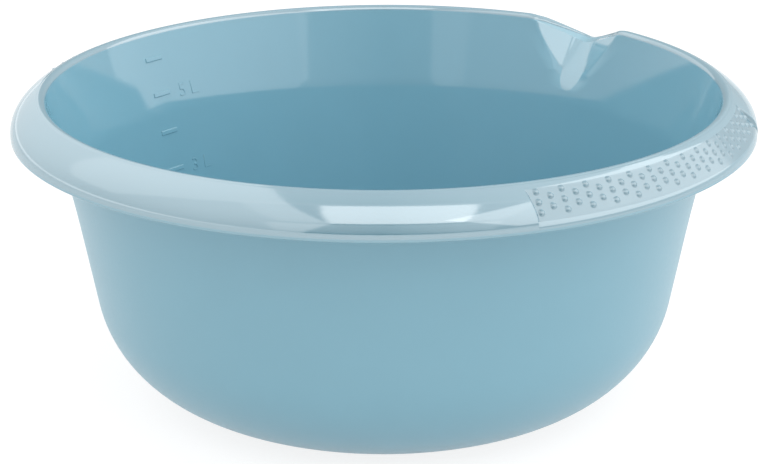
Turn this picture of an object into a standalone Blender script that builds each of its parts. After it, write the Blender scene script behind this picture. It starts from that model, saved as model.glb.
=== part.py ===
"""Round plastic bowl with a turned-over rim, a pouring spout and two studded grips.

Lengths are in metres and +Z is up. The origin is the middle of the base, on the ground.
The spout points along +Y, and the grips lie on +X and -X under the two hands.
"""

import math

import bmesh
import bpy
from mathutils import Matrix, Vector

# Bowl wall, measured on its inside from the ground up
BOWL_HEIGHT = 0.1353
MOUTH_RADIUS = 0.1453
WALL = 0.0020
STAND_RADIUS = 0.0747
CORNER_RADIUS = 0.0531
WALL_DRAFT = math.radians(10.0)
FLARE_START = 0.0700

# Underside: the bowl stands on a ring, and the base inside the ring is raised
STAND_RING_WIDTH = 0.0090
BASE_HOLLOW = 0.0012

# Rim: a round bead at the mouth, a crease, and a crowned flange turned down over the wall
RIM_WIDTH = 0.0147
RIM_DROP = 0.0158
SKIRT_HEIGHT = 0.0012
CROWN_SLOPE = math.radians(28.0)
BEAD_RADIUS = 0.0014
CREASE_DEPTH = 0.0004
CREASE_WIDTH = 0.0006
LIP_EDGE = 0.0004

# Spout: a channel that leans out over the rim, between two flat flared sides
SPOUT_HALF_WIDTH = 0.0285
CHANNEL_HALF_WIDTH = 0.0072
SPOUT_DIP = 0.0095
SPOUT_DEPTH = 0.0330
FLARE_DEPTH = 0.0250
CHANNEL_SAG = 0.0008
SPOUT_LIP_EDGE = 0.0005
CHANNEL_EASE = 1.3
THINNEST_SHARE = 0.02

# Grip pads: studded inserts in a flat-bottomed pocket of the flange
STUD_COLUMNS = 29
STUD_ROWS = 5
STUD_PITCH = 0.0054
STUD_ROW_PITCH = 0.0021
STUD_RADIUS = 0.0014
STUD_HEIGHT = 0.0006
STUD_ROOT = 0.0003
FIRST_ROW = 0.0017
PAD_END_MARGIN = 0.0034
PAD_THICKNESS = 0.0012
PAD_EDGE = 0.0003
SEAT_GAP = 0.0003
POCKET_WALL = 0.0016
POCKET_TOP_LAND = 0.0003
POCKET_LOW_LAND = 0.0009
GRIP_TOP_WIDTH = 0.0019
GRIP_DROP = 0.0124

# Fill marks: raised bars at whole litres. A litre fills a cube of this side
LITRE_SIDE = 0.1000
FIRST_MARK = 3
MARK_LENGTH = 0.0125
MARK_HEIGHT = 0.0018
MARK_PROUD = 0.0005
MARK_ROOT = 0.0008
MARK_FREEBOARD = 0.0080

# Fineness of the facets
PLAIN_STEP = math.radians(7.4)
CORNER_SEGMENTS = 6
CROWN_SEGMENTS = 6
BEAD_SEGMENTS = 4
SPOUT_SIDE_STEPS = 4
CHANNEL_STEPS = 4
STUD_SIDES = 8
FILL_SLICES = 400
HALVINGS = 40
SHARP_ANGLE = math.radians(35.0)

# Places that follow from the sizes
RIM_RADIUS = MOUTH_RADIUS + RIM_WIDTH
CREST_RADIUS = MOUTH_RADIUS + BEAD_RADIUS
BEAD_HEIGHT = BOWL_HEIGHT - BEAD_RADIUS
CREASE_ANGLE = math.asin(1.0 - CREASE_DEPTH / BEAD_RADIUS)
LIP_HEIGHT = BOWL_HEIGHT - RIM_DROP
SKIRT_TOP = LIP_HEIGHT + SKIRT_HEIGHT
CROWN_START = Vector((CREST_RADIUS + BEAD_RADIUS + CREASE_WIDTH, BOWL_HEIGHT - CREASE_DEPTH))
CROWN_FALL = (RIM_RADIUS - CROWN_START.x) * math.tan(CROWN_SLOPE)
CROWN_CORNER = Vector((RIM_RADIUS, CROWN_START.y - CROWN_FALL))
CROWN_END = Vector((RIM_RADIUS, SKIRT_TOP))
STAND_RING_INSIDE = STAND_RADIUS - STAND_RING_WIDTH
SPOUT_REACH = RIM_RADIUS - SPOUT_LIP_EDGE - BEAD_RADIUS - CREST_RADIUS
POCKET_DEPTH = PAD_THICKNESS + SEAT_GAP

BLUE = (0.33, 0.52, 0.61, 1.0)
GRIP_BLUE = (0.36, 0.55, 0.63, 1.0)


def clear_scene():
    for item in list(bpy.data.objects):
        bpy.data.objects.remove(item, do_unlink=True)


def make_material(name, colour, roughness):
    material = bpy.data.materials.new(name)
    material.use_nodes = True
    shader = material.node_tree.nodes["Principled BSDF"]
    shader.inputs["Base Color"].default_value = colour
    shader.inputs["Roughness"].default_value = roughness
    shader.inputs["Metallic"].default_value = 0.0
    material.diffuse_color = colour
    return material


def make_object(name, mesh_builder, material):
    """Turn a bmesh into an object with smooth shading and its own material."""
    bmesh.ops.recalc_face_normals(mesh_builder, faces=mesh_builder.faces)
    mesh = bpy.data.meshes.new(name)
    mesh_builder.to_mesh(mesh)
    mesh_builder.free()
    mesh.shade_smooth()
    mesh.set_sharp_from_angle(angle=SHARP_ANGLE)
    mesh.materials.append(material)
    item = bpy.data.objects.new(name, mesh)
    bpy.context.scene.collection.objects.link(item)
    return item


def fuse(item, guide):
    """Union a guide's solids into an object with an exact Boolean."""
    guide.hide_render = True
    guide.display_type = "WIRE"
    modifier = item.modifiers.new("fuse " + guide.name, "BOOLEAN")
    modifier.operation = "UNION"
    modifier.solver = "EXACT"
    modifier.object = guide


def halve(function, low, high):
    """Find where a rising function passes zero between low and high."""
    for _ in range(HALVINGS):
        middle = (low + high) / 2.0
        if function(middle) < 0.0:
            low = middle
        else:
            high = middle
    return (low + high) / 2.0


def between(start, end, share):
    return start + (end - start) * share


# Wall

def straight_radius(height):
    """Inner radius of the straight drafted wall, carried on to any height."""
    arc_radius = CORNER_RADIUS - WALL
    end_radius = STAND_RADIUS + arc_radius * math.cos(WALL_DRAFT)
    end_height = CORNER_RADIUS - arc_radius * math.sin(WALL_DRAFT)
    return end_radius + (height - end_height) * math.tan(WALL_DRAFT)


def inner_radius(height):
    """Inner radius of the wall: straight, then flaring as a parabola to the mouth."""
    flare = max(0.0, height - FLARE_START) / (BOWL_HEIGHT - FLARE_START)
    gain = MOUTH_RADIUS - straight_radius(BOWL_HEIGHT)
    return straight_radius(height) + gain * flare ** 2


def outer_radius(height):
    """Outer radius of the wall, one wall thickness out from its inner face."""
    flare = max(0.0, height - FLARE_START) / (BOWL_HEIGHT - FLARE_START)
    gain = MOUTH_RADIUS - straight_radius(BOWL_HEIGHT)
    slope = math.tan(WALL_DRAFT) + 2.0 * gain * flare / (BOWL_HEIGHT - FLARE_START)
    return inner_radius(height) + WALL * math.hypot(1.0, slope)


def corner_point(arc_radius, share):
    """A point of the corner between base (share 0) and wall (share 1)."""
    angle = between(math.pi / 2.0, WALL_DRAFT, share)
    radius = STAND_RADIUS + arc_radius * math.cos(angle)
    return radius, CORNER_RADIUS - arc_radius * math.sin(angle)


def hollow_radius(height):
    """Inner radius of the whole hollow, corner included, for the fill marks."""
    arc_radius = CORNER_RADIUS - WALL
    end_height = CORNER_RADIUS - arc_radius * math.sin(WALL_DRAFT)
    if height >= end_height:
        return inner_radius(height)
    below = CORNER_RADIUS - height
    return STAND_RADIUS + math.sqrt(max(0.0, arc_radius ** 2 - below ** 2))


# Spout

def spout_share(offset):
    """1 over the channel, falling evenly to 0 at the spout's two ends."""
    side = SPOUT_HALF_WIDTH - CHANNEL_HALF_WIDTH
    return min(1.0, max(0.0, (SPOUT_HALF_WIDTH - abs(offset)) / side))


def channel_round(offset):
    """1 in the middle of the channel, 0 at its edges."""
    return max(0.0, 1.0 - (offset / CHANNEL_HALF_WIDTH) ** 2)


def rim_dip(offset):
    """How far the rim sinks at a distance along the mouth from the spout's middle."""
    return SPOUT_DIP * spout_share(offset) + CHANNEL_SAG * channel_round(offset)


def spout_push(offset, depth):
    """How far the wall leans out at a depth below the top of the rim."""
    rise = (SPOUT_DEPTH - depth) / (SPOUT_DEPTH - SPOUT_DIP)
    if rise <= 0.0:
        return 0.0
    flare = SPOUT_HALF_WIDTH - CHANNEL_HALF_WIDTH
    side = flare * max(0.0, 1.0 - depth / FLARE_DEPTH)
    outside = abs(offset) - CHANNEL_HALF_WIDTH
    if outside <= 0.0:
        share = 1.0
    elif outside < side:
        share = 1.0 - outside / side
    else:
        share = 0.0
    return SPOUT_REACH * share * rise ** CHANNEL_EASE


def rim_push(offset):
    return spout_push(offset, rim_dip(offset))


def crease_depths():
    """Wall depths at which the flare's edge crosses the spout's stations."""
    depths = []
    for step in range(SPOUT_SIDE_STEPS):
        share = 1.0 - step / SPOUT_SIDE_STEPS
        sunk = FLARE_DEPTH * share - SPOUT_DIP * share
        depths.append(sunk / (1.0 - SPOUT_DIP * share / SPOUT_DEPTH))
    return depths


def wall_depths():
    """Depths of the wall's rows below the rim, deepest first."""
    flare_depth = BOWL_HEIGHT - FLARE_START
    depths = [flare_depth, (flare_depth + SPOUT_DEPTH) / 2.0, SPOUT_DEPTH]
    sides = crease_depths()
    depths.append((SPOUT_DEPTH + sides[0]) / 2.0)
    return depths + sides


def wall_point(radius_at, depth, offset):
    """A point of the wall, moved as the spout asks."""
    dip = rim_dip(offset) * max(0.0, 1.0 - depth / SPOUT_DEPTH)
    sunk = depth + dip
    height = BOWL_HEIGHT - sunk
    return radius_at(height) + spout_push(offset, sunk), height


def bead_point(angle, offset):
    radius = CREST_RADIUS + BEAD_RADIUS * math.cos(angle)
    height = BEAD_HEIGHT + BEAD_RADIUS * math.sin(angle)
    return radius + rim_push(offset), height - rim_dip(offset)


def drawn_in(point, top, edge_radius, offset):
    """Squeeze a point of the flange between the leaning bead and the flange's edge."""
    radius, height = point
    top_radius, top_height = top
    squeeze = max(THINNEST_SHARE, 1.0 - rim_push(offset) / (edge_radius - top_radius))
    share = (height - LIP_HEIGHT) / (top_height - LIP_HEIGHT)
    return edge_radius - (edge_radius - radius) * squeeze, height - rim_dip(offset) * share


# Flange, pocket and its backing

def curve_point(start, corner, end, share):
    """A point of the curve that leaves start towards a corner and reaches end from it."""
    return start.lerp(corner, share).lerp(corner.lerp(end, share), share)


def crown_point(share):
    """A point of the flange's crown, from the crease (share 0) to the skirt (share 1)."""
    return curve_point(CROWN_START, CROWN_CORNER, CROWN_END, share)


def grip_top_share():
    width = GRIP_TOP_WIDTH / (RIM_RADIUS - CROWN_START.x)
    return 1.0 - math.sqrt(1.0 - width)


def grip_low_share():
    """Where the crown has dropped to the low end of the grip's flat."""
    return halve(lambda share: BOWL_HEIGHT - GRIP_DROP - crown_point(share).y, 0.0, 1.0)


def grip_point(along, below):
    """A point at a distance along the grip's flat from its top, and below the flat."""
    top = crown_point(grip_top_share())
    run = (crown_point(grip_low_share()) - top).normalized()
    out = Vector((-run.y, run.x))
    return tuple(top + run * along - out * below)


def grip_length():
    return (crown_point(grip_low_share()) - crown_point(grip_top_share())).length


def grip_half_angle():
    """Half the angle that the pocket takes up round the rim."""
    middle = grip_point(grip_length() / 2.0, 0.0)[0]
    half_length = (STUD_COLUMNS - 1) / 2.0 * STUD_PITCH + PAD_END_MARGIN
    return half_length / middle


def flange_points(offset, pocket):
    """The flange's top face from the grip's low end up to the crease."""
    if pocket:
        low = grip_length() - POCKET_LOW_LAND
        points = [
            crown_point(grip_low_share()),
            grip_point(low, 0.0),
            grip_point(low, POCKET_DEPTH),
            grip_point(POCKET_TOP_LAND, POCKET_DEPTH),
            grip_point(POCKET_TOP_LAND, 0.0),
            crown_point(grip_top_share()),
            crown_point(0.0),
        ]
    else:
        points = []
        for step in range(CROWN_SEGMENTS + 1):
            points.append(crown_point(between(grip_low_share(), 0.0, step / CROWN_SEGMENTS)))
    top = bead_point(CREASE_ANGLE, SPOUT_HALF_WIDTH)
    return [drawn_in(point, top, RIM_RADIUS, offset) for point in points]


def backing_points(offset, backed):
    """The flange's hidden face from the wall down to the lip, thicker behind a pocket."""
    back_depth = POCKET_DEPTH + POCKET_WALL
    length = grip_length()

    def back(along):
        return Vector(grip_point(along, back_depth))

    def tangent(radius):
        fall = (radius - CROWN_START.x) * math.tan(CROWN_SLOPE)
        return Vector((radius, CROWN_START.y - fall - WALL / math.cos(CROWN_SLOPE)))

    def clear_of_wall(path):
        return lambda place: path(place).x - outer_radius(path(place).y)

    steps = CROWN_SEGMENTS - 1
    if backed:
        start = halve(clear_of_wall(back), -2.0 * back_depth, length)
        end = length - POCKET_LOW_LAND
        points = [back(between(start, end, step / steps)) for step in range(steps + 1)]
    else:
        start = tangent(halve(clear_of_wall(tangent), MOUTH_RADIUS, RIM_RADIUS - WALL))
        corner = tangent(RIM_RADIUS - WALL)
        end = Vector((RIM_RADIUS - WALL, SKIRT_TOP))
        points = [curve_point(start, corner, end, step / steps) for step in range(steps + 1)]
    points.append((RIM_RADIUS - WALL, LIP_HEIGHT))
    return [drawn_in(point, points[0], RIM_RADIUS - WALL, offset) for point in points]


def section(offset, pocket, backed):
    """The bowl's section from the middle of its underside round to the middle of its floor."""
    depths = wall_depths()
    points = [
        (0.0, BASE_HOLLOW),
        (STAND_RING_INSIDE - BASE_HOLLOW, BASE_HOLLOW),
        (STAND_RING_INSIDE, 0.0),
    ]
    for step in range(CORNER_SEGMENTS + 1):
        points.append(corner_point(CORNER_RADIUS, step / CORNER_SEGMENTS))
    for depth in depths:
        points.append(wall_point(outer_radius, depth, offset))
    points += backing_points(offset, backed)
    points.append((RIM_RADIUS - LIP_EDGE, LIP_HEIGHT))
    points.append((RIM_RADIUS, LIP_HEIGHT + LIP_EDGE))
    points.append((RIM_RADIUS, SKIRT_TOP))
    points += flange_points(offset, pocket)
    for step in range(BEAD_SEGMENTS + 1):
        angle = between(CREASE_ANGLE, math.pi, step / BEAD_SEGMENTS)
        points.append(bead_point(angle, offset))
    for depth in reversed(depths):
        points.append(wall_point(inner_radius, depth, offset))
    for step in range(CORNER_SEGMENTS + 1):
        points.append(corner_point(CORNER_RADIUS - WALL, 1.0 - step / CORNER_SEGMENTS))
    points.append((STAND_RING_INSIDE, WALL))
    points.append((STAND_RING_INSIDE - BASE_HOLLOW, WALL + BASE_HOLLOW))
    points.append((0.0, WALL + BASE_HOLLOW))
    return points


# Bowl shell

def spout_offsets():
    """Places of the spout's stations along the mouth, from one end to the other."""
    side = SPOUT_HALF_WIDTH - CHANNEL_HALF_WIDTH
    left = []
    for step in range(SPOUT_SIDE_STEPS):
        left.append(-SPOUT_HALF_WIDTH + side * step / SPOUT_SIDE_STEPS)
    channel = []
    for step in range(CHANNEL_STEPS + 1):
        share = step / CHANNEL_STEPS
        channel.append(between(-CHANNEL_HALF_WIDTH, CHANNEL_HALF_WIDTH, share))
    return left + channel + [-offset for offset in reversed(left)]


def spread(start, end, steps, pocket, backed):
    """Stations at even angles, without an offset from the spout."""
    stations = []
    for step in range(steps + 1):
        angle = between(start, end, step / steps)
        stations.append((angle, SPOUT_HALF_WIDTH, pocket, backed))
    return stations


def plain(start, end):
    return spread(start, end, max(1, round((end - start) / PLAIN_STEP)), False, False)


def ring_stations():
    """Every station round the bowl: angle, offset from the spout, pocket and backing."""
    grip = grip_half_angle()
    backing = grip + POCKET_WALL / RIM_RADIUS
    spout = SPOUT_HALF_WIDTH / MOUTH_RADIUS
    pairs = (STUD_COLUMNS + 1) // 2
    quarter = math.pi / 2.0
    half = math.pi
    full = 2.0 * math.pi
    runs = [
        spread(-grip, grip, pairs, True, True),
        spread(grip, backing, 1, False, True),
        plain(backing, quarter - spout),
    ]
    pour = []
    for offset in spout_offsets():
        pour.append((quarter + offset / MOUTH_RADIUS, offset, False, False))
    runs.append(pour)
    runs += [
        plain(quarter + spout, half - backing),
        spread(half - backing, half - grip, 1, False, True),
        spread(half - grip, half + grip, pairs, True, True),
        spread(half + grip, half + backing, 1, False, True),
        plain(half + backing, full - backing),
        spread(full - backing, full - grip, 1, False, True),
    ]
    return [station for run in runs for station in run]


class Loft:
    """A closed skin through sections that stand round the bowl's axis."""

    def __init__(self):
        self.builder = bmesh.new()
        self.corners = {}
        self.grain = WALL / 20000.0

    def corner(self, angle, point):
        radius, height = point
        place = Vector((radius * math.cos(angle), radius * math.sin(angle), height))
        key = tuple(round(value / self.grain) for value in place)
        if key not in self.corners:
            self.corners[key] = self.builder.verts.new(place)
        return self.corners[key]

    def face(self, corners):
        """Add a face, leaving out corners that fall together."""
        kept = []
        for corner in corners:
            if corner not in kept:
                kept.append(corner)
        if len(kept) > 2:
            self.builder.faces.new(kept)

    def skin(self, sections, closed_section, closed_ring):
        rings = []
        for angle, points in sections:
            rings.append([self.corner(angle, point) for point in points])
        if closed_ring:
            rings.append(rings[0])
        for ring, following in zip(rings, rings[1:]):
            count = len(ring)
            for place in range(count if closed_section else count - 1):
                after = (place + 1) % count
                self.face([ring[place], ring[after], following[after], following[place]])
        return rings


def fill_height(litres):
    """Height of the surface when the bowl holds so many litres, or None past the top."""
    wanted = litres * LITRE_SIDE ** 3
    floor = WALL
    top = BOWL_HEIGHT - MARK_FREEBOARD
    slice_height = (top - floor) / FILL_SLICES
    held = 0.0
    for step in range(FILL_SLICES):
        middle = floor + (step + 0.5) * slice_height
        area = math.pi * hollow_radius(middle) ** 2
        if held + area * slice_height >= wanted:
            return floor + step * slice_height + (wanted - held) / area
        held += area * slice_height
    return None


def build_fill_marks(material):
    """A raised bar on the inner wall at each whole litre, over the left grip."""
    builder = bmesh.new()
    litres = FIRST_MARK
    while fill_height(litres) is not None:
        height = fill_height(litres)
        slope = math.atan2(inner_radius(height + MARK_HEIGHT) - inner_radius(height), MARK_HEIGHT)
        turn = Matrix.Rotation(slope, 4, "Y").inverted()
        centre = Vector((-inner_radius(height) - (MARK_ROOT - MARK_PROUD) / 2.0, 0.0, height))
        size = Matrix.Diagonal((MARK_ROOT + MARK_PROUD, MARK_LENGTH, MARK_HEIGHT, 1.0))
        bmesh.ops.create_cube(builder, size=1.0, matrix=Matrix.Translation(centre) @ turn @ size)
        litres += 1
    return make_object("fill_mark_guide", builder, material)


def build_shell(material):
    loft = Loft()
    sections = []
    for angle, offset, pocket, backed in ring_stations():
        sections.append((angle, section(offset, pocket, backed)))
    loft.skin(sections, closed_section=False, closed_ring=True)
    shell = make_object("bowl_shell", loft.builder, material)
    fuse(shell, build_fill_marks(material))
    return shell


# Grip pads

def build_pad(name, material):
    """A curved strip that fills the pocket, with a clearance all round."""
    loft = Loft()
    top = POCKET_TOP_LAND + SEAT_GAP
    low = grip_length() - POCKET_LOW_LAND - SEAT_GAP
    outline = [
        grip_point(top, PAD_THICKNESS),
        grip_point(low, PAD_THICKNESS),
        grip_point(low, PAD_EDGE),
        grip_point(low - PAD_EDGE, 0.0),
        grip_point(top + PAD_EDGE, 0.0),
        grip_point(top, PAD_EDGE),
    ]
    pairs = (STUD_COLUMNS + 1) // 2
    half = grip_half_angle() - SEAT_GAP / MOUTH_RADIUS
    sections = []
    for step in range(pairs + 1):
        sections.append((between(-half, half, step / pairs), outline))
    rings = loft.skin(sections, closed_section=True, closed_ring=False)
    loft.builder.faces.new(rings[0])
    loft.builder.faces.new(reversed(rings[-1]))
    return make_object(name, loft.builder, material)


def add_stud(builder, place):
    """A low dome whose root is sunk in the pad's top face."""
    dome_radius = (STUD_RADIUS ** 2 + STUD_HEIGHT ** 2) / (2.0 * STUD_HEIGHT)
    half_radius = STUD_RADIUS / 2.0
    half_height = STUD_HEIGHT - dome_radius + math.sqrt(dome_radius ** 2 - half_radius ** 2)
    levels = [(STUD_RADIUS, -STUD_ROOT), (half_radius, half_height)]
    rings = []
    for radius, height in levels:
        ring = []
        for side in range(STUD_SIDES):
            angle = 2.0 * math.pi * (side + 0.5) / STUD_SIDES
            point = Vector((radius * math.cos(angle), radius * math.sin(angle), height))
            ring.append(builder.verts.new(place @ point))
        rings.append(ring)
    for ring, above in zip(rings, rings[1:]):
        for side in range(STUD_SIDES):
            after = (side + 1) % STUD_SIDES
            builder.faces.new((ring[side], ring[after], above[after], above[side]))
    builder.faces.new(reversed(rings[0]))
    tip = builder.verts.new(place @ Vector((0.0, 0.0, STUD_HEIGHT)))
    for side in range(STUD_SIDES):
        after = (side + 1) % STUD_SIDES
        builder.faces.new((rings[-1][side], rings[-1][after], tip))


def build_studs(name, material):
    """Studs in quincunx: odd and even columns hold alternate rows."""
    builder = bmesh.new()
    start = Vector(grip_point(0.0, 0.0))
    run = (Vector(grip_point(grip_length(), 0.0)) - start).normalized()
    lean = math.atan2(-run.y, run.x)
    column_angle = STUD_PITCH / grip_point(grip_length() / 2.0, 0.0)[0]
    for column in range(STUD_COLUMNS):
        turn = (column - (STUD_COLUMNS - 1) / 2.0) * column_angle
        for row in range(column % 2, STUD_ROWS, 2):
            radius, height = grip_point(FIRST_ROW + row * STUD_ROW_PITCH, 0.0)
            place = Matrix.Rotation(turn, 4, "Z")
            place @= Matrix.Translation((radius, 0.0, height))
            place @= Matrix.Rotation(lean, 4, "Y")
            add_stud(builder, place)
    return make_object(name, builder, material)


def build_grip(side, turn, material):
    pad = build_pad("grip_pad_" + side, material)
    pad.rotation_euler.z = turn
    studs = build_studs("stud_guide_" + side, material)
    studs.parent = pad
    fuse(pad, studs)
    return pad


def main():
    clear_scene()
    build_shell(make_material("bowl plastic", BLUE, 0.28))
    build_grip("right", 0.0, make_material("right grip plastic", GRIP_BLUE, 0.42))
    build_grip("left", math.pi, make_material("left grip plastic", GRIP_BLUE, 0.42))


main()
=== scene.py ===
import math
from collections import namedtuple

import bmesh
import bpy
import numpy as np
from mathutils import Matrix, Vector


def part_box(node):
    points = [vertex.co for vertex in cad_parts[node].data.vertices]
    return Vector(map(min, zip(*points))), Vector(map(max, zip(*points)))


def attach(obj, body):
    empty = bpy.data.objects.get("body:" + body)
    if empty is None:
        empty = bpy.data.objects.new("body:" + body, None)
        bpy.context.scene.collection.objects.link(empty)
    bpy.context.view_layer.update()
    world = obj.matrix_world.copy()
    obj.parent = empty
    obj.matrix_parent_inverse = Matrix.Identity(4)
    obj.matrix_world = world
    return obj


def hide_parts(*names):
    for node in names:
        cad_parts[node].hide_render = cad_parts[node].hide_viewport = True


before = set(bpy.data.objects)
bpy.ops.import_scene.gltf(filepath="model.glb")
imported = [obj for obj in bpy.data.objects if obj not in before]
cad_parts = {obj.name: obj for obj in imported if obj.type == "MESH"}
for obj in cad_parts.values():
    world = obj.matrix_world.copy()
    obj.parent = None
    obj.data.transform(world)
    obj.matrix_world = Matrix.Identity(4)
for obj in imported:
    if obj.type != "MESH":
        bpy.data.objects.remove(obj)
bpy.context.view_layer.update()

# Sizes, in metres. The frame gives the bowl's height and the rim's radius
SHELL_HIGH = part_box("bowl_shell")[1]
BOWL_HEIGHT = SHELL_HIGH.z
RIM_RADIUS = SHELL_HIGH.y

# Wall and base
MOUTH_RADIUS = 0.1445
WALL = 0.0020
STAND_RADIUS = 0.0744
CORNER_RADIUS = 0.0531
WALL_DRAFT = math.radians(10.0)
FLARE_START = 0.0990
FLARE_ROUND = 0.0030
OUTSIDE_FLARE = 0.0048
OUTSIDE_FLARE_START = 0.0700
OUTSIDE_FLARE_POWER = 3.0
STAND_RING_WIDTH = 0.0090
BASE_HOLLOW = 0.0012

# Rim
RIM_DROP = 0.0158
SKIRT_HEIGHT = 0.0012
CROWN_SLOPE = math.radians(28.0)
BEAD_RADIUS = 0.0012
BEAD_REACH = 0.0028
BEAD_FALL = 0.0024
BEAD_TURN = math.radians(165.9)
CROWN_START_RADIUS = 0.1487
CREASE_DEPTH = 0.0004
CREASE_ANGLE = math.radians(56.0)
CREASE_LEAD = math.radians(18.0)
CREASE_SINK = 0.00012
LIP_EDGE = 0.0005

# Spout
SPOUT_HALF_WIDTH = 0.0245
CHANNEL_HALF_WIDTH = 0.0061
SPOUT_DIP = 0.0109
DIP_ROUND = 0.0045
TIP_ROUND = 0.0026
CHANNEL_DIP = 0.0082
SPOUT_CREST_RADIUS = 0.1562
SPOUT_THIN_SHARE = 0.80
LEAST_SQUEEZE_SHARE = 0.02
FLARE_DEPTH = 0.0240
FLARE_BOW = 1.4
RUN_IN_PUSH = 0.0030
RUN_IN_WIDTH = 0.0080
RUN_IN_POWER = 1.5
RUN_OUT = 0.0085
RUN_OUT_POWER = 1.3
CHANNEL_HOLLOW = 0.0030
CREASE_ROUND = 0.0010

# Grips
STUD_COLUMNS = 29
STUD_ROWS = 5
STUD_PITCH = 0.0054
STUD_ROW_PITCH = 0.0021
STUD_RADIUS = 0.0014
STUD_HEIGHT = 0.00076
STUD_FILLET = 0.00006
FIRST_ROW = 0.0017
PAD_END_MARGIN = 0.0034
PAD_THICKNESS = 0.0012
PAD_SEAM = 0.000005
SEAT_GAP = 0.0003
POCKET_WALL = 0.0016
POCKET_TOP_LAND = 0.0003
POCKET_LOW_LAND = 0.0009
GRIP_TOP_WIDTH = 0.0019
GRIP_DROP = 0.0124
END_WALL_SLOPE = 2.2
END_WALL_START = 0.00035
END_WALL_ROUND = 0.0007
END_WALL_FOOT = 0.00012
END_WIDTH = 0.0020
TOP_FILLET = 0.0010
LOW_FILLET = 0.0020
NEAR_LEAN = 0.0022
FAR_LEAN = 0.0048
LEAN_FADE = math.radians(12.0)

# Litre marks on the inner wall, over the left grip
MARK_AZIMUTH = math.radians(181.5)
MARK_HEIGHTS = {3: 0.0703, 4: 0.0885, 5: 0.1065, 6: 0.1228}
NUMBERED_MARKS = (3, 5)
MARK_LENGTH = 0.0104
MARK_THICK = 0.0022
MARK_RISE = 0.0004
MARK_SINK = 0.0004
MARK_BEVEL = 0.00035
MARK_NUMBER_SIZE = 0.0090
MARK_NUMBER_RISE = 0.00012
MARK_NUMBER_BEVEL = 0.00012
MARK_NUMBER_GAP = 0.0056
MARK_NUMBER_SHIFT = -0.0008

# Fineness of the wall, in distances between rows and between stations round the bowl
PLAIN_STEP = math.radians(1.0)
SPOUT_STEP = 0.0003
WALL_STEP = 0.0030
SPOUT_ROW = 0.0006
FINE_DEPTH = 0.0420
WALL_TOP_DEPTH = 0.0038
INNER_TOP_DEPTHS = [0.0032, 0.0026, 0.0021]

# Fineness of the rim and the curves, in steps
EDGE_STEPS = 4
LIP_STEPS = 5
TOP_STEPS = 6
CREASE_STEPS = 6
SKIRT_STEPS = 8
FILLET_STEPS = 8
BACK_STEPS = 14
BEAD_STEPS = 18
FLAT_STEPS = 24
CORNER_STEPS = 28

# Fineness of the grips and the marks
STUD_GRID = 0.00022
END_STEP = 0.00008
ROW_CLEARANCE = 0.0001
MARK_BEVEL_STEPS = 2
MARK_SLOPE_REACH = 0.001

# Tolerances
HALVINGS = 40
WELD = 1e-7
SAME_PLACE = 1e-9
OFFSET_DIGITS = 7
SHELL_SHARP = math.radians(40.0)
PAD_SHARP = math.radians(50.0)

# Places that follow from the sizes
CREST_RADIUS = MOUTH_RADIUS - BEAD_REACH * math.cos(BEAD_TURN)
BEAD_END_HEIGHT = BOWL_HEIGHT - BEAD_FALL * (1.0 - math.sin(BEAD_TURN))
SPOUT_DEPTH = FLARE_DEPTH + RUN_OUT
LIP_HEIGHT = BOWL_HEIGHT - RIM_DROP
SKIRT_TOP = LIP_HEIGHT + SKIRT_HEIGHT
CROWN_START = Vector((CROWN_START_RADIUS, BOWL_HEIGHT - CREASE_DEPTH))
CROWN_CORNER = Vector((RIM_RADIUS, CROWN_START.y - (RIM_RADIUS - CROWN_START.x) * math.tan(CROWN_SLOPE)))
CROWN_END = Vector((RIM_RADIUS, SKIRT_TOP))
STAND_RING_INSIDE = STAND_RADIUS - STAND_RING_WIDTH
SPOUT_REACH = SPOUT_CREST_RADIUS - CREST_RADIUS
POCKET_DEPTH = PAD_THICKNESS + SEAT_GAP
SPOUT_SIDE = SPOUT_HALF_WIDTH - CHANNEL_HALF_WIDTH
FAR_FROM_SPOUT = SPOUT_HALF_WIDTH * 3.0

# Camera: the photo's view, found from the rim's and the wall's outlines
PHOTO_TURN = math.radians(40.6)
CAMERA_DISTANCE = 0.8871
CAMERA_ELEVATION = 0.3424
CAMERA_ROLL = -0.0027
AIM_ACROSS = -0.00006
AIM_HEIGHT = 0.0668
LENS = 93.75
SENSOR = 36.0
CLIP_NEAR = 0.01
CLIP_FAR = 20.0

# Panel lamps, aimed at one place: azimuth and elevation of the panel's plane in degrees, its distance,
# its reach across and up as shares of that distance, and its radiance
Panel = namedtuple("Panel", "azimuth elevation distance across_shares up_shares radiance")
PANELS = {
    "front_softbox": Panel(-90.0, 45.0, 2.0, (-0.25, 0.38), (-0.16, 0.74), 1.08),
    "front_halo": Panel(-90.0, 58.0, 2.6, (-0.55, 0.62), (-0.36, 0.50), 0.13),
    "front_low_panel": Panel(-90.0, 20.0, 2.4, (-0.62, 0.62), (-0.30, 0.22), 0.22),
    "top_panel": Panel(-90.0, 90.0, 2.1, (-2.80, 1.30), (-0.14, 0.90), 0.18),
    "left_wall_light": Panel(175.0, 10.0, 0.9, (-2.20, 3.20), (-0.25, 2.00), 0.50),
    "right_panel": Panel(-10.0, 30.0, 1.2, (-1.00, 0.90), (-0.44, 0.58), 0.70),
}
PANEL_AIM = Vector((0.0, -0.05, 0.12))

# Watts per square metre of a panel whose radiance is 1
PANEL_WATTS = 4.0

# The room's light: directions of the photo's frame, each with the strength of the glow from there
WORLD_LOBES = {
    "back": ((0.0, 1.0, 0.0), 0.46),
    "right": ((1.0, 0.0, 0.0), 0.88),
    "left": ((-1.0, 0.0, 0.0), 0.32),
    "top": ((0.0, 0.0, 1.0), 0.54),
}

# Colours
BLUE = (0.190, 0.395, 0.490, 1.0)
# The rim, grip and skirt blues are darker copies of the bowl's blue: painted shade
RIM_SHADED_BLUE = (0.145, 0.298, 0.372, 1.0)
GRIP_SHADED_BLUE = (0.126, 0.255, 0.318, 1.0)
SKIRT_SHADED_BLUE = (0.165, 0.345, 0.430, 1.0)
FLOOR_GREY = (0.8, 0.8, 0.8, 1.0)
WHITE = (1.0, 1.0, 1.0, 1.0)
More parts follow.
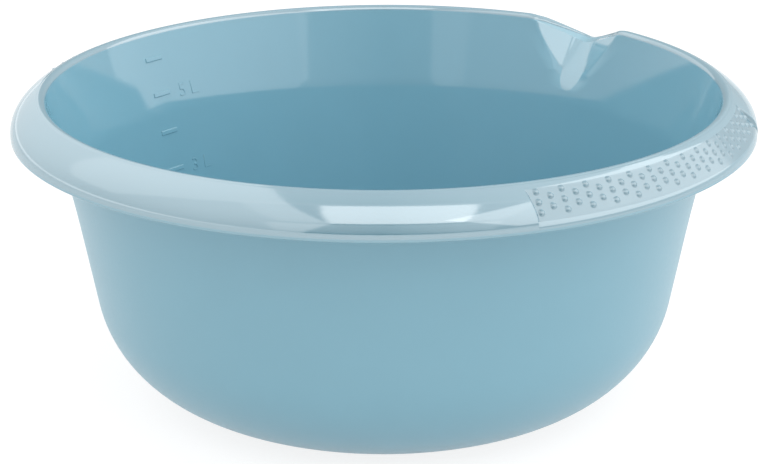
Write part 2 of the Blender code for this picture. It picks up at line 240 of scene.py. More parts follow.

# Looks of the plastic: colour, roughness and index of refraction. The bowl is one plastic, but the
# rim, skirt and grips have darker copies of its blue, a painted shade, and the rim, spout, skirt and
# grips have a higher index, which gives them a brighter, painted sheen. The bowl is one plastic, but
# the rim, spout, skirt and grips have a higher index, which gives them the photo's brighter sheen
SHELL_LOOKS = {
    "bowl": (BLUE, 0.08, 1.68),
    "rim": (RIM_SHADED_BLUE, 0.08, 2.9),
    "spout": (BLUE, 0.10, 2.45),
    "outside": (BLUE, 0.35, 1.68),
    "skirt": (SKIRT_SHADED_BLUE, 0.10, 2.2),
}
# The grips: a darker blue for painted shade and a higher index for a painted sheen
GRIP_SHADED_LOOK = (GRIP_SHADED_BLUE, 0.18, 2.5)
INSIDE, RIM, SPOUT, OUTSIDE, SKIRT = range(len(SHELL_LOOKS))

# The moulded surface: a faint mottle in the colour, a fine grain in the gloss and the bump
MOTTLE_SCALE = 40.0
MOTTLE_SHARE = 0.02
GRAIN_SCALE = 700.0
GRAIN_STRENGTH = 0.5
GRAIN_DEPTH = 0.00001
GLOSS_SHARE = 0.15

# Sockets of a mix node that is set to colours
MIX_FACTOR, MIX_FIRST, MIX_SECOND, MIX_RESULT = 0, 6, 7, 2

# Floor: light that the camera sees added, grey that still takes the shadow, half size and surface
FLOOR_LIFT = 0.84
FLOOR_KEEP = 0.22
FLOOR_HALF = 9.0
FLOOR_ROUGHNESS = 1.0
FLOOR_INDEX = 1.5


def between(start, end, share):
    """A value or place at a share of the way from start to end."""
    return start + (end - start) * share


def soft_positive(value, width):
    """max(0, value), rounded off over a width about zero."""
    if abs(value) >= width:
        return max(0.0, value)
    return (value + width) ** 2 / (4.0 * width)


def soft_ramp(share, width):
    """A share held between 0 and 1, rounded off at both ends."""
    return soft_positive(share, width) - soft_positive(share - 1.0, width)


def halve(function, low, high):
    """Where a rising function crosses zero between low and high."""
    for _ in range(HALVINGS):
        middle = (low + high) / 2.0
        if function(middle) < 0.0:
            low = middle
        else:
            high = middle
    return (low + high) / 2.0


# Wall

def straight_radius(height):
    """Radius of the inner wall's cone, which touches the round corner above the base."""
    arc_radius = CORNER_RADIUS - WALL
    end_radius = STAND_RADIUS + arc_radius * math.cos(WALL_DRAFT)
    end_height = CORNER_RADIUS - arc_radius * math.sin(WALL_DRAFT)
    return end_radius + (height - end_height) * math.tan(WALL_DRAFT)


FLARE_GAIN = MOUTH_RADIUS - straight_radius(BEAD_END_HEIGHT)
FLARE_HEIGHT = BEAD_END_HEIGHT - FLARE_START
OUTSIDE_FLARE_HEIGHT = BEAD_END_HEIGHT - OUTSIDE_FLARE_START


def inner_radius(height):
    """A cone below the flare's start and a wider cone above it."""
    above = soft_positive(height - FLARE_START, FLARE_ROUND)
    return straight_radius(height) + FLARE_GAIN * above / FLARE_HEIGHT


def outer_radius(height):
    """The cone with a smooth flare, further out by the wall's thickness."""
    flare = max(0.0, height - OUTSIDE_FLARE_START) / OUTSIDE_FLARE_HEIGHT
    power = OUTSIDE_FLARE_POWER
    slope = math.tan(WALL_DRAFT) + power * OUTSIDE_FLARE * flare ** (power - 1.0) / OUTSIDE_FLARE_HEIGHT
    return straight_radius(height) + OUTSIDE_FLARE * flare ** power + WALL * math.hypot(1.0, slope)


def corner_point(arc_radius, share):
    """A point of the round corner, from the base (share 0) to the wall (share 1)."""
    angle = between(math.pi / 2.0, WALL_DRAFT, share)
    radius = STAND_RADIUS + arc_radius * math.cos(angle)
    return radius, CORNER_RADIUS - arc_radius * math.sin(angle)


# Spout

def spout_share(offset):
    """Share of the rim's dip, as a V with a round tip and soft shoulders."""
    across = math.hypot(offset, TIP_ROUND)
    return soft_positive(1.0 - across / SPOUT_HALF_WIDTH, DIP_ROUND / SPOUT_HALF_WIDTH)


def channel_round(offset):
    """Share of the channel's hollow at a distance from its middle."""
    return max(0.0, 1.0 - (offset / CHANNEL_HALF_WIDTH) ** 2)


def rim_dip(offset):
    """How far the rim's top sinks at a distance from the spout's middle."""
    return SPOUT_DIP * spout_share(offset)


def crease_offset(depth):
    """Distance of a facet's outer crease from the spout's middle, closing in a round end below."""
    if depth > FLARE_DEPTH:
        return CHANNEL_HALF_WIDTH * math.sqrt(max(0.0, 1.0 - ((depth - FLARE_DEPTH) / RUN_OUT) ** 2))
    sunk = max(0.0, depth / FLARE_DEPTH)
    return CHANNEL_HALF_WIDTH + SPOUT_SIDE * (1.0 - sunk ** FLARE_BOW)


def run_in_push(depth):
    """How far the wall is drawn out along the facets' creases, and below them."""
    if depth <= FLARE_DEPTH:
        return RUN_IN_PUSH * max(0.0, depth / FLARE_DEPTH) ** RUN_IN_POWER
    return RUN_IN_PUSH * max(0.0, 1.0 - (depth - FLARE_DEPTH) / RUN_OUT) ** RUN_OUT_POWER


def spout_push(offset, depth):
    """How far the spout moves the wall outwards: a soft run-in, two facets and a round channel."""
    crease = crease_offset(depth)
    edge = run_in_push(depth)
    beyond = min(1.0, max(0.0, (abs(offset) - crease) / RUN_IN_WIDTH))
    push = edge * (1.0 - beyond) ** 2
    if depth >= FLARE_DEPTH:
        return push
    share = (depth - CHANNEL_DIP) / (FLARE_DEPTH - CHANNEL_DIP)
    side = max(crease - CHANNEL_HALF_WIDTH, 2.0 * CREASE_ROUND)
    facet = soft_ramp((CHANNEL_HALF_WIDTH + side - abs(offset)) / side, CREASE_ROUND / side)
    push += (between(SPOUT_REACH, RUN_IN_PUSH, share) - edge) * facet
    return push + CHANNEL_HOLLOW * (1.0 - depth / FLARE_DEPTH) * channel_round(offset)


def rim_push(offset):
    """How far the spout moves the rim's top outwards."""
    return spout_push(offset, rim_dip(offset))


def sunk_depth(depth, offset):
    """Depth of a wall row below the rim's level, once the spout has pulled it down."""
    return depth + rim_dip(offset) * max(0.0, 1.0 - depth / SPOUT_DEPTH)


def wall_point(radius_at, depth, offset):
    """A point of the inner or outer wall, with the spout's facets and channel in it."""
    sunk = sunk_depth(depth, offset)
    height = BOWL_HEIGHT - sunk
    if sunk <= depth:
        return radius_at(height), height
    return radius_at(height) + spout_push(offset, sunk), height


def bead_point(angle, offset):
    """The bead round the mouth: tight on its outer side, wide on its inner side."""
    size = 1.0 - SPOUT_THIN_SHARE * spout_share(offset)
    inside = angle > math.pi / 2.0
    reach = BEAD_REACH if inside else BEAD_RADIUS
    fall = BEAD_FALL if inside else BEAD_RADIUS
    radius = CREST_RADIUS + size * reach * math.cos(angle)
    height = BOWL_HEIGHT - size * fall * (1.0 - math.sin(angle))
    return radius + rim_push(offset), height - rim_dip(offset)


def drawn_in(point, top, edge_radius, offset):
    """A flange point moved with the spout: squeezed towards the rim's edge, and sunk with the top."""
    radius, height = point
    top_radius, top_height = top
    squeeze = max(LEAST_SQUEEZE_SHARE, 1.0 - rim_push(offset) / (edge_radius - top_radius))
    share = (height - LIP_HEIGHT) / (top_height - LIP_HEIGHT)
    return edge_radius - (edge_radius - radius) * squeeze, height - rim_dip(offset) * share


# Flange

def curve_point(start, corner, end, share):
    """A point of a quadratic curve between vectors."""
    return start.lerp(corner, share).lerp(corner.lerp(end, share), share)


def crown_point(share):
    """A point of the flange's crown, from the crease (share 0) to the skirt (share 1)."""
    return curve_point(CROWN_START, CROWN_CORNER, CROWN_END, share)


TOP_SHARE = 1.0 - math.sqrt(1.0 - GRIP_TOP_WIDTH / (RIM_RADIUS - CROWN_START.x))
LOW_SHARE = halve(lambda share: BOWL_HEIGHT - GRIP_DROP - crown_point(share).y, 0.0, 1.0)
FLAT_TOP = crown_point(TOP_SHARE)
FLAT_LENGTH = (crown_point(LOW_SHARE) - FLAT_TOP).length
FLAT_RUN = (crown_point(LOW_SHARE) - FLAT_TOP).normalized()
FLAT_OUT = Vector((-FLAT_RUN.y, FLAT_RUN.x))


def grip_point(along, below):
    """A place on the grip's flat, counted down from its top edge, at a depth below it."""
    return tuple(FLAT_TOP + FLAT_RUN * along - FLAT_OUT * below)


FLAT_MIDDLE = grip_point(FLAT_LENGTH / 2.0, 0.0)[0]
GRIP_HALF_ANGLE = ((STUD_COLUMNS - 1) / 2.0 * STUD_PITCH + PAD_END_MARGIN) / FLAT_MIDDLE


def crown_over(along):
    """The crown's share, from 0 to 1, that lies over a place along the grip's flat."""
    return halve(lambda share: (crown_point(share) - FLAT_TOP).dot(FLAT_RUN) - along, 0.0, 1.0)


def bend(start, middle, end, steps):
    """Points of a quadratic curve, without its first."""
    points = []
    for step in range(1, steps + 1):
        share = step / steps
        a = (1.0 - share) ** 2
        b = 2.0 * share * (1.0 - share)
        c = share ** 2
        points.append(tuple(a * s + b * m + c * e for s, m, e in zip(start, middle, end)))
    return points


PAD_TOP = POCKET_TOP_LAND
PAD_LOW = FLAT_LENGTH - POCKET_LOW_LAND

FlangeRow = namedtuple("FlangeRow", "along recess crown deep")


def flange_rows():
    """Rows from the skirt up: place along the flat, recess and crown point, and if it's in the pocket."""
    low_start = crown_point(crown_over(FLAT_LENGTH + LOW_FILLET))
    top_end = crown_point(crown_over(-TOP_FILLET))
    low_flat = Vector(grip_point(FLAT_LENGTH - LOW_FILLET, 0.0))
    top_flat = Vector(grip_point(TOP_FILLET, 0.0))
    recess = []
    for step in range(SKIRT_STEPS):
        recess.append(crown_point(between(1.0, crown_over(FLAT_LENGTH + LOW_FILLET), step / SKIRT_STEPS)))
    corner = Vector(grip_point(FLAT_LENGTH, 0.0))
    recess += [curve_point(low_start, corner, low_flat, step / FILLET_STEPS) for step in range(FILLET_STEPS)]
    recess += [low_flat.lerp(top_flat, step / FLAT_STEPS) for step in range(FLAT_STEPS)]
    recess += [curve_point(top_flat, FLAT_TOP, top_end, step / FILLET_STEPS) for step in range(FILLET_STEPS)]
    start = crown_over(-TOP_FILLET)
    recess += [crown_point(start * (1.0 - step / TOP_STEPS)) for step in range(TOP_STEPS + 1)]
    places = [(point - FLAT_TOP).dot(FLAT_RUN) for point in recess]
    rows = []
    for along, point in zip(places, recess):
        if min(abs(along - PAD_TOP), abs(along - PAD_LOW)) <= ROW_CLEARANCE:
            continue
        past_recess = along < -TOP_FILLET or along > FLAT_LENGTH + LOW_FILLET
        crown = point if past_recess else crown_point(crown_over(along))
        rows.append(FlangeRow(along, point, crown, PAD_TOP < along < PAD_LOW))
    order = [-place for place in places]
    for along in (PAD_TOP, PAD_LOW):
        point = Vector((
            float(np.interp(-along, order, [point.x for point in recess])),
            float(np.interp(-along, order, [point.y for point in recess])),
        ))
        crown = crown_point(crown_over(along))
        rows += [FlangeRow(along, point, crown, deep) for deep in (True, False)]
    rows.sort(key=lambda row: (-row.along, row.deep if row.along == PAD_LOW else not row.deep))
    return rows


FLANGE_ROWS = flange_rows()
ROW_PLACES = np.array([row.along for row in reversed(FLANGE_ROWS)])
ROW_RECESS = np.array([tuple(row.recess) for row in reversed(FLANGE_ROWS)])
ROW_CROWN = np.array([tuple(row.crown) for row in reversed(FLANGE_ROWS)])


def flange_points(offset, pocket):
    """From the skirt up to the crease, with the pad's pocket cut down where there is one."""
    points = []
    for row in FLANGE_ROWS:
        point = row.recess - FLAT_OUT * POCKET_DEPTH if row.deep else row.recess
        points.append(tuple(point if pocket else row.crown))
    if rim_dip(offset) <= 0.0:
        return points
    top = bead_point(CREASE_ANGLE, FAR_FROM_SPOUT)
    return [drawn_in(point, top, RIM_RADIUS, offset) for point in points]


def backing_points(offset, backed):
    """The flange's hidden inside, from the wall out and down to the lip, thicker behind a pocket."""
    back_depth = POCKET_DEPTH + POCKET_WALL

    def back(along):
        return Vector(grip_point(along, back_depth))

    def tangent(radius):
        fall = (radius - CROWN_START.x) * math.tan(CROWN_SLOPE)
        return Vector((radius, CROWN_START.y - fall - WALL / math.cos(CROWN_SLOPE)))

    def clear_of_wall(path):
        return lambda place: path(place).x - outer_radius(path(place).y)

    if backed:
        start = halve(clear_of_wall(back), -2.0 * back_depth, FLAT_LENGTH)
        end = PAD_LOW
        points = [back(between(start, end, step / BACK_STEPS)) for step in range(BACK_STEPS + 1)]
    else:
        start = tangent(halve(clear_of_wall(tangent), MOUTH_RADIUS, RIM_RADIUS - WALL))
        corner = tangent(RIM_RADIUS - WALL)
        end = Vector((RIM_RADIUS - WALL, SKIRT_TOP))
        points = [curve_point(start, corner, end, step / BACK_STEPS) for step in range(BACK_STEPS + 1)]
    inside = RIM_RADIUS - WALL
    points.append((inside, LIP_HEIGHT + LIP_EDGE))
    points += bend(points[-1], (inside, LIP_HEIGHT), (inside + LIP_EDGE, LIP_HEIGHT), EDGE_STEPS)
    points = [tuple(point) for point in points]
    if rim_dip(offset) <= 0.0:
        return points
    return [drawn_in(point, points[0], inside, offset) for point in points]


# Section

def wall_depths():
    """Depths of the wall's rows below the rim, deepest first."""
    arc_radius = CORNER_RADIUS - WALL
    wall_end = CORNER_RADIUS - arc_radius * math.sin(WALL_DRAFT)
    bottom = BOWL_HEIGHT - wall_end
    steps = round((bottom - FINE_DEPTH) / WALL_STEP)
    depths = [between(bottom, FINE_DEPTH, step / steps) for step in range(1, steps + 1)]
    steps = round((FINE_DEPTH - WALL_TOP_DEPTH) / SPOUT_ROW)
    depths += [between(FINE_DEPTH, WALL_TOP_DEPTH, step / steps) for step in range(1, steps + 1)]
    return depths


OUTER_DEPTHS = wall_depths()
INNER_DEPTHS = list(reversed(OUTER_DEPTHS + INNER_TOP_DEPTHS))


def base_points(height):
    """The base from its middle out to the standing ring, with the soft step down to the ring."""
    step_end = STAND_RING_INSIDE - BASE_HOLLOW
    high = height + BASE_HOLLOW
    ring = (STAND_RING_INSIDE, height)
    middle = between(Vector((step_end, high)), Vector(ring), 0.5)
    points = [(0.0, high), (step_end * 0.5, high), (step_end - BASE_HOLLOW, high)]
    points += bend(points[-1], (step_end, high), middle, EDGE_STEPS)
    points += bend(points[-1], ring, (STAND_RING_INSIDE + BASE_HOLLOW, height), EDGE_STEPS)
    return points


def section(offset, pocket, backed):
    """Radius and height of points from under the base, up the outside, over the rim and down inside."""
    points = base_points(0.0)
    for step in range(CORNER_STEPS + 1):
        points.append(corner_point(CORNER_RADIUS, step / CORNER_STEPS))
    for depth in OUTER_DEPTHS:
        points.append(wall_point(outer_radius, depth, offset))
    points += backing_points(offset, backed)
    points.append((RIM_RADIUS - LIP_EDGE, LIP_HEIGHT))
    points += bend(points[-1], (RIM_RADIUS, LIP_HEIGHT), (RIM_RADIUS, LIP_HEIGHT + LIP_EDGE), LIP_STEPS)
    points += flange_points(offset, pocket)
    crease = bead_point(CREASE_ANGLE, offset)
    lead = bead_point(CREASE_ANGLE - CREASE_LEAD, offset)
    points += bend(points[-1], (lead[0], crease[1] - CREASE_SINK), crease, CREASE_STEPS)
    for step in range(1, BEAD_STEPS + 1):
        angle = between(CREASE_ANGLE, BEAD_TURN, step / BEAD_STEPS)
        points.append(bead_point(angle, offset))
    for depth in INNER_DEPTHS:
        points.append(wall_point(inner_radius, depth, offset))
    for step in range(CORNER_STEPS + 1):
        points.append(corner_point(CORNER_RADIUS - WALL, 1.0 - step / CORNER_STEPS))
    points += reversed(base_points(WALL)[:-1])
    return points


def count_to_flange():
    """How many points of the section come before the flange's rows."""
    start = FLANGE_ROWS[0].crown
    for place, point in enumerate(section(FAR_FROM_SPOUT, False, False)):
        if max(abs(point[0] - start.x), abs(point[1] - start.y)) < SAME_PLACE:
            return place
    raise ValueError("the flange's first row isn't in the section")


# Stations round the bowl

def spread(start, end, steps, pocket, backed):
    """Stations at even angles: angle, distance from the spout's middle, pocketed and backed."""
    stations = []
    for step in range(steps + 1):
        angle = between(start, end, step / steps)
        offset = (angle - math.pi / 2.0) * MOUTH_RADIUS
        stations.append((angle, offset, pocket, backed))
    return stations


def plain(start, end):
    """Stations of a stretch with neither spout nor grip."""
    return spread(start, end, max(1, round((end - start) / PLAIN_STEP)), False, False)


def ring_stations():
    """Stations once round the bowl, from the right grip past the spout and the left grip."""
    grip = GRIP_HALF_ANGLE
    backing = grip + POCKET_WALL / RIM_RADIUS
    spout = (SPOUT_HALF_WIDTH + RUN_IN_WIDTH) / MOUTH_RADIUS
    quarter = math.pi / 2.0
    half = math.pi
    full = 2.0 * math.pi
    pour_steps = round(2.0 * spout * MOUTH_RADIUS / SPOUT_STEP)
    grip_steps = round(2.0 * grip / PLAIN_STEP)
    runs = [
        spread(-grip, grip, grip_steps, True, True),
        spread(grip, backing, 1, False, True),
        plain(backing, quarter - spout),
        spread(quarter - spout, quarter + spout, pour_steps, False, False),
        plain(quarter + spout, half - backing),
        spread(half - backing, half - grip, 1, False, True),
        spread(half - grip, half + grip, grip_steps, True, True),
        spread(half + grip, half + backing, 1, False, True),
        plain(half + backing, full - backing),
        spread(full - backing, full - grip, 1, False, True),
    ]
    return [station for run in runs for station in run]


def lean_shift(angle, along):
    """How far a place of the grip's flat is turned, so that the recess's ends slant."""
    share = min(1.0, max(0.0, along / FLAT_LENGTH))
    middle = 0.0 if math.cos(angle) > 0.0 else math.pi
    side = 1.0 if middle == 0.0 else -1.0
    off = side * ((angle - middle + math.pi) % (2.0 * math.pi) - math.pi)
    near = NEAR_LEAN / FLAT_MIDDLE * (share - 0.5)
    far = FAR_LEAN / FLAT_MIDDLE * (share - 0.5)
    if off < -GRIP_HALF_ANGLE:
        turn = near * max(0.0, 1.0 - (-off - GRIP_HALF_ANGLE) / LEAN_FADE)
    elif off > GRIP_HALF_ANGLE:
        turn = far * max(0.0, 1.0 - (off - GRIP_HALF_ANGLE) / LEAN_FADE)
    else:
        turn = between(near, far, (off / GRIP_HALF_ANGLE + 1.0) / 2.0)
    return side * turn


# Skins

def loft(name, angles, sections, closed_section, closed_ring, sharp, looks=None):
    """A skin through sections that stand round the bowl's axis. Looks numbers each face's material."""
    outline = np.array(sections)
    turns = np.array(angles)
    if turns.ndim == 1:
        turns = turns[:, None]
    radius, height = outline[..., 0], outline[..., 1]
    places = np.stack([radius * np.cos(turns), radius * np.sin(turns), height], axis=-1)
    rings, count = radius.shape
    index = np.arange(rings * count).reshape(rings, count)
    if closed_ring:
        index = np.vstack([index, index[:1]])
    if closed_section:
        index = np.hstack([index, index[:, :1]])
    quads = np.stack([index[:-1, :-1], index[:-1, 1:], index[1:, 1:], index[1:, :-1]], axis=-1)
    faces = [tuple(quad) for quad in quads.reshape(-1, 4).tolist()]
    if not closed_ring:
        faces.append(tuple(range(count)))
        faces.append(tuple(reversed(range((rings - 1) * count, rings * count))))
    mesh = bpy.data.meshes.new(name)
    mesh.from_pydata(places.reshape(-1, 3).tolist(), [], faces)
    if looks is not None:
        mesh.polygons.foreach_set("material_index", np.array(looks, dtype=np.int32).ravel())
    builder = bmesh.new()
    builder.from_mesh(mesh)
    bmesh.ops.remove_doubles(builder, verts=builder.verts, dist=WELD)
    bmesh.ops.recalc_face_normals(builder, faces=builder.faces)
    builder.to_mesh(mesh)
    builder.free()
    mesh.shade_smooth()
    mesh.set_sharp_from_angle(angle=sharp)
    item = bpy.data.objects.new(name, mesh)
    bpy.context.scene.collection.objects.link(item)
    return item


# Shell

def section_looks(count, first):
    """The look of each face of a section without the spout, and where the inner wall's faces start."""
    skirt_start = first - 1 - LIP_STEPS
    skirt_end = first + SKIRT_STEPS
    inside_start = first + len(FLANGE_ROWS) + CREASE_STEPS + BEAD_STEPS - 1
    looks = [OUTSIDE] * skirt_start
    looks += [SKIRT] * (skirt_end - skirt_start)
    looks += [RIM] * (inside_start - skirt_end)
    looks += [INSIDE] * (count - 1 - inside_start)
    return looks, inside_start


def build_shell():
    """The whole bowl with its pockets, as one skin. Sections alike are worked out once."""
    sections_by_key = {}
    angles, sections, looks = [], [], []
    spout = SPOUT_HALF_WIDTH + RUN_IN_WIDTH
    count = len(section(FAR_FROM_SPOUT, False, False))
    first = count_to_flange()
    plain_looks, inside_start = section_looks(count, first)
    for angle, offset, pocket, backed in ring_stations():
        near = abs(offset) < spout
        key = (round(offset, OFFSET_DIGITS) if near else None, pocket, backed)
        if key not in sections_by_key:
            sections_by_key[key] = section(offset if near else FAR_FROM_SPOUT, pocket, backed)
        sections.append(sections_by_key[key])
        turns = [angle] * count
        for place, row in enumerate(FLANGE_ROWS, first):
            turns[place] = angle + lean_shift(angle, row.along)
        angles.append(turns)
        row_looks = list(plain_looks)
        for place, depth in enumerate(INNER_DEPTHS, inside_start):
            sunk = sunk_depth(depth, offset)
            if sunk < SPOUT_DEPTH and abs(offset + SPOUT_STEP / 2.0) < crease_offset(sunk):
                row_looks[place] = SPOUT
        looks.append(row_looks)
    return loft("shell_skin", angles, sections, False, True, SHELL_SHARP, looks)


# Litre marks

def on_inner_wall(mesh, height):
    """Bend a flat mark (x along the wall, y up, z out of it) on to the inner wall at a height."""
    widening = inner_radius(height + MARK_SLOPE_REACH) - inner_radius(height)
    slope = math.atan(widening / MARK_SLOPE_REACH)
    for corner in mesh.vertices:
        along, up, out = corner.co
        place = height + up * math.cos(slope)
        radius = inner_radius(place) - out
        angle = MARK_AZIMUTH - along / radius
        corner.co = (radius * math.cos(angle), radius * math.sin(angle), place + out * math.sin(slope))


def mark_piece(name, mesh, look):
    """Make a mark's mesh a piece of the bowl."""
    item = bpy.data.objects.new(name, mesh)
    bpy.context.scene.collection.objects.link(item)
    mesh.materials.append(look)
    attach(item, "root")
    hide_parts("bowl_shell")


def build_dash(litres, height, look):
    """A raised dash with chamfered edges."""
    bar = bmesh.new()
    bmesh.ops.create_cube(bar, size=1.0)
    for corner in bar.verts:
        corner.co.x *= MARK_LENGTH
        corner.co.y *= MARK_THICK
        corner.co.z = MARK_RISE if corner.co.z > 0.0 else -MARK_SINK
    upright = [edge for edge in bar.edges if all(corner.co.z > 0.0 for corner in edge.verts)]
    steps = MARK_BEVEL_STEPS
    bmesh.ops.bevel(bar, geom=upright, offset=MARK_BEVEL, segments=steps, affect="EDGES", profile=0.5)
    name = "dash_%d_litres" % litres
    mesh = bpy.data.meshes.new(name)
    bar.to_mesh(mesh)
    bar.free()
    on_inner_wall(mesh, height)
    mark_piece(name, mesh, look)


def build_number(litres, height, look):
    """Raised figures beside the dash, in the plain built-in font."""
    name = "number_%d_litres" % litres
    data = bpy.data.curves.new(name, "FONT")
    data.body = "%d L" % litres
    data.size = MARK_NUMBER_SIZE
    data.extrude = (MARK_NUMBER_RISE + MARK_SINK) / 2.0
    data.bevel_depth = MARK_NUMBER_BEVEL
    data.bevel_resolution = 1
    data.offset = -MARK_NUMBER_BEVEL
    data.align_x = "LEFT"
    data.align_y = "CENTER"
    text = bpy.data.objects.new(name + "_curve", data)
    bpy.context.scene.collection.objects.link(text)
    bpy.context.view_layer.update()
    mesh = bpy.data.meshes.new_from_object(text.evaluated_get(bpy.context.evaluated_depsgraph_get()))
    bpy.data.objects.remove(text)
    across = MARK_LENGTH / 2.0 + MARK_NUMBER_GAP
    out = (MARK_NUMBER_RISE - MARK_SINK) / 2.0
    mesh.transform(Matrix.Translation((across, MARK_NUMBER_SHIFT, out)))
    mesh.materials.clear()
    on_inner_wall(mesh, height)
    mark_piece(name, mesh, look)


def build_marks(look):
    """A dash for each number of litres, and figures beside every other one."""
    for litres, height in MARK_HEIGHTS.items():
        build_dash(litres, height, look)
        if litres in NUMBERED_MARKS:
            build_number(litres, height, look)


# Grip pads

def stud_rise(along, around):
    """Height of the studs over the pad's flat, as a field of domes in quincunx."""
    column = around / STUD_PITCH + (STUD_COLUMNS - 1) / 2.0
    rise = np.zeros(np.broadcast(along, around).shape)
    for shift in (0, 1):
        nearest = 2.0 * np.round((column - shift) / 2.0) + shift
        nearest = np.clip(nearest, shift, STUD_COLUMNS - 1 - shift)
        across = (column - nearest) * STUD_PITCH
        row = (along - FIRST_ROW) / STUD_ROW_PITCH
        closest = 2.0 * np.round((row - shift) / 2.0) + shift
        closest = np.clip(closest, shift, STUD_ROWS - 1 - shift)
        down = (row - closest) * STUD_ROW_PITCH
        dome = STUD_HEIGHT * (1.0 - (across ** 2 + down ** 2) / STUD_RADIUS ** 2)
        rise = np.maximum(rise, 0.5 * (dome + np.sqrt(dome ** 2 + STUD_FILLET ** 2)))
    return rise


def end_wall(inside):
    """How far the recess has come down at a distance inside its end."""
    start = END_WALL_SLOPE * (inside - END_WALL_START)
    spare = END_WALL_SLOPE * END_WALL_ROUND
    fall = 0.5 * (start + np.sqrt(start ** 2 + spare ** 2))
    edge = -END_WALL_SLOPE * END_WALL_START
    return fall - 0.5 * (edge + math.hypot(edge, spare))


def between_rows(row_points, along):
    """Points of the flange's section at places along the flat."""
    return np.stack([np.interp(along, ROW_PLACES, row_points[:, axis]) for axis in (0, 1)], axis=-1)


def build_pad(side, turn):
    """The studded field and the recess's end walls, as one height field over the grip's flat."""
    top = PAD_TOP + PAD_SEAM
    low = PAD_LOW - PAD_SEAM
    half = GRIP_HALF_ANGLE - PAD_SEAM / MOUTH_RADIUS
    end = half - END_WIDTH / FLAT_MIDDLE
    end_steps = round(END_WIDTH / END_STEP)
    rings = round(2.0 * end * FLAT_MIDDLE / STUD_GRID)
    lines = round((low - top) / STUD_GRID)
    turns = np.concatenate([
        np.linspace(-half, -end, end_steps, endpoint=False),
        np.linspace(-end, end, rings, endpoint=False),
        np.linspace(end, half, end_steps + 1),
    ])
    along = np.linspace(low, top, lines + 1)
    places = np.concatenate([[top, low], along])
    lean = np.array([[lean_shift(angle, place) for place in places] for angle in turns])
    rise = stud_rise(along[None, :], (turns[:, None] + lean[:, 2:]) * FLAT_MIDDLE)
    recess = between_rows(ROW_RECESS, along)
    crown = between_rows(ROW_CROWN, along)
    depth = np.hypot(*(crown - recess).T)[None, :]
    fall = end_wall((half - np.abs(turns)) * FLAT_MIDDLE)[:, None]
    gap = depth - fall
    left = np.where(depth > WELD, 0.5 * (gap + np.sqrt(gap ** 2 + END_WALL_FOOT ** 2)), 0.0)
    left = np.minimum(left, depth)
    skin = recess[None] + (rise + left)[..., None] * np.array(FLAT_OUT)
    under = np.array([grip_point(top, PAD_THICKNESS), grip_point(low, PAD_THICKNESS)])
    sections = np.concatenate([np.repeat(under[None], len(turns), axis=0), skin], axis=1)
    angles = turns[:, None] + lean
    angles = turn + angles if side == "right" else turn - angles
    return loft("grip_skin_" + side, angles, sections, True, False, PAD_SHARP)


# Camera and light

def build_camera():
    """The photo's view of the bowl, which is turned about its axis in that view."""
    data = bpy.data.cameras.new("photo_camera")
    data.sensor_fit = "HORIZONTAL"
    data.sensor_width = SENSOR
    data.lens = LENS
    data.clip_start = CLIP_NEAR
    data.clip_end = CLIP_FAR
    camera = bpy.data.objects.new("photo_camera", data)
    bpy.context.scene.collection.objects.link(camera)
    back = Vector((0.0, -math.cos(CAMERA_ELEVATION), math.sin(CAMERA_ELEVATION)))
    aim = Vector((AIM_ACROSS, 0.0, AIM_HEIGHT))
    tilt = Matrix.Rotation(math.pi / 2.0 - CAMERA_ELEVATION, 4, "X")
    roll = Matrix.Rotation(CAMERA_ROLL, 4, "Z")
    turn = Matrix.Rotation(PHOTO_TURN, 4, "Z")
    camera.matrix_world = turn @ Matrix.Translation(aim + back * CAMERA_DISTANCE) @ tilt @ roll
    bpy.context.scene.camera = camera


def turned(x, y, z):
    """A place or direction of the photo's frame, where +Y points away from the camera."""
    return Matrix.Rotation(PHOTO_TURN, 3, "Z") @ Vector((x, y, z))


def build_panel(name, azimuth, elevation, distance, across_shares, up_shares, radiance):
    """A rectangular lamp square to a direction of the photo's frame, shining back at the bowl."""
    azimuth = math.radians(azimuth)
    elevation = math.radians(elevation)
    level = Vector((math.cos(azimuth), math.sin(azimuth), 0.0))
    out = level * math.cos(elevation) + Vector((0.0, 0.0, math.sin(elevation)))
    across = Vector((-math.sin(azimuth), math.cos(azimuth), 0.0))
    up = out.cross(across)
    middle = across * sum(across_shares) / 2.0 + up * sum(up_shares) / 2.0
    data = bpy.data.lights.new(name, "AREA")
    data.shape = "RECTANGLE"
    data.size = (across_shares[1] - across_shares[0]) * distance
    data.size_y = (up_shares[1] - up_shares[0]) * distance
    data.energy = radiance * PANEL_WATTS * data.size * data.size_y
    lamp = bpy.data.objects.new(name, data)
    bpy.context.scene.collection.objects.link(lamp)
    place = PANEL_AIM + (out + middle) * distance
    axes = Matrix((across, up, out)).transposed().to_4x4()
    lamp.matrix_world = Matrix.Rotation(PHOTO_TURN, 4, "Z") @ Matrix.Translation(place) @ axes


def build_world():
    """A white room that is brighter towards some directions, by a sum of soft lobes."""
    world = bpy.data.worlds.new("studio")
    bpy.context.scene.world = world
    world.use_nodes = True
    nodes, links = world.node_tree.nodes, world.node_tree.links
    glow = nodes["Background"]
    glow.inputs["Color"].default_value = WHITE
    direction = nodes.new("ShaderNodeTexCoord").outputs["Generated"]
    total = None
    for name, (axis, strength) in WORLD_LOBES.items():
        dot = nodes.new("ShaderNodeVectorMath")
        dot.operation = "DOT_PRODUCT"
        links.new(direction, dot.inputs[0])
        dot.inputs[1].default_value = turned(*axis)
        lobe = nodes.new("ShaderNodeMath")
        lobe.operation = "MAXIMUM"
        links.new(dot.outputs["Value"], lobe.inputs[0])
        lobe.inputs[1].default_value = 0.0
        add = nodes.new("ShaderNodeMath")
        add.operation = "MULTIPLY_ADD"
        add.name = name
        links.new(lobe.outputs[0], add.inputs[0])
        add.inputs[1].default_value = strength
        add.inputs[2].default_value = 0.0
        if total is not None:
            links.new(total, add.inputs[2])
        total = add.outputs[0]
    links.new(total, glow.inputs["Strength"])


# Looks

def shade(colour, factor):
    """A colour made darker or lighter by a factor."""
    return tuple(part * factor for part in colour[:3]) + (1.0,)


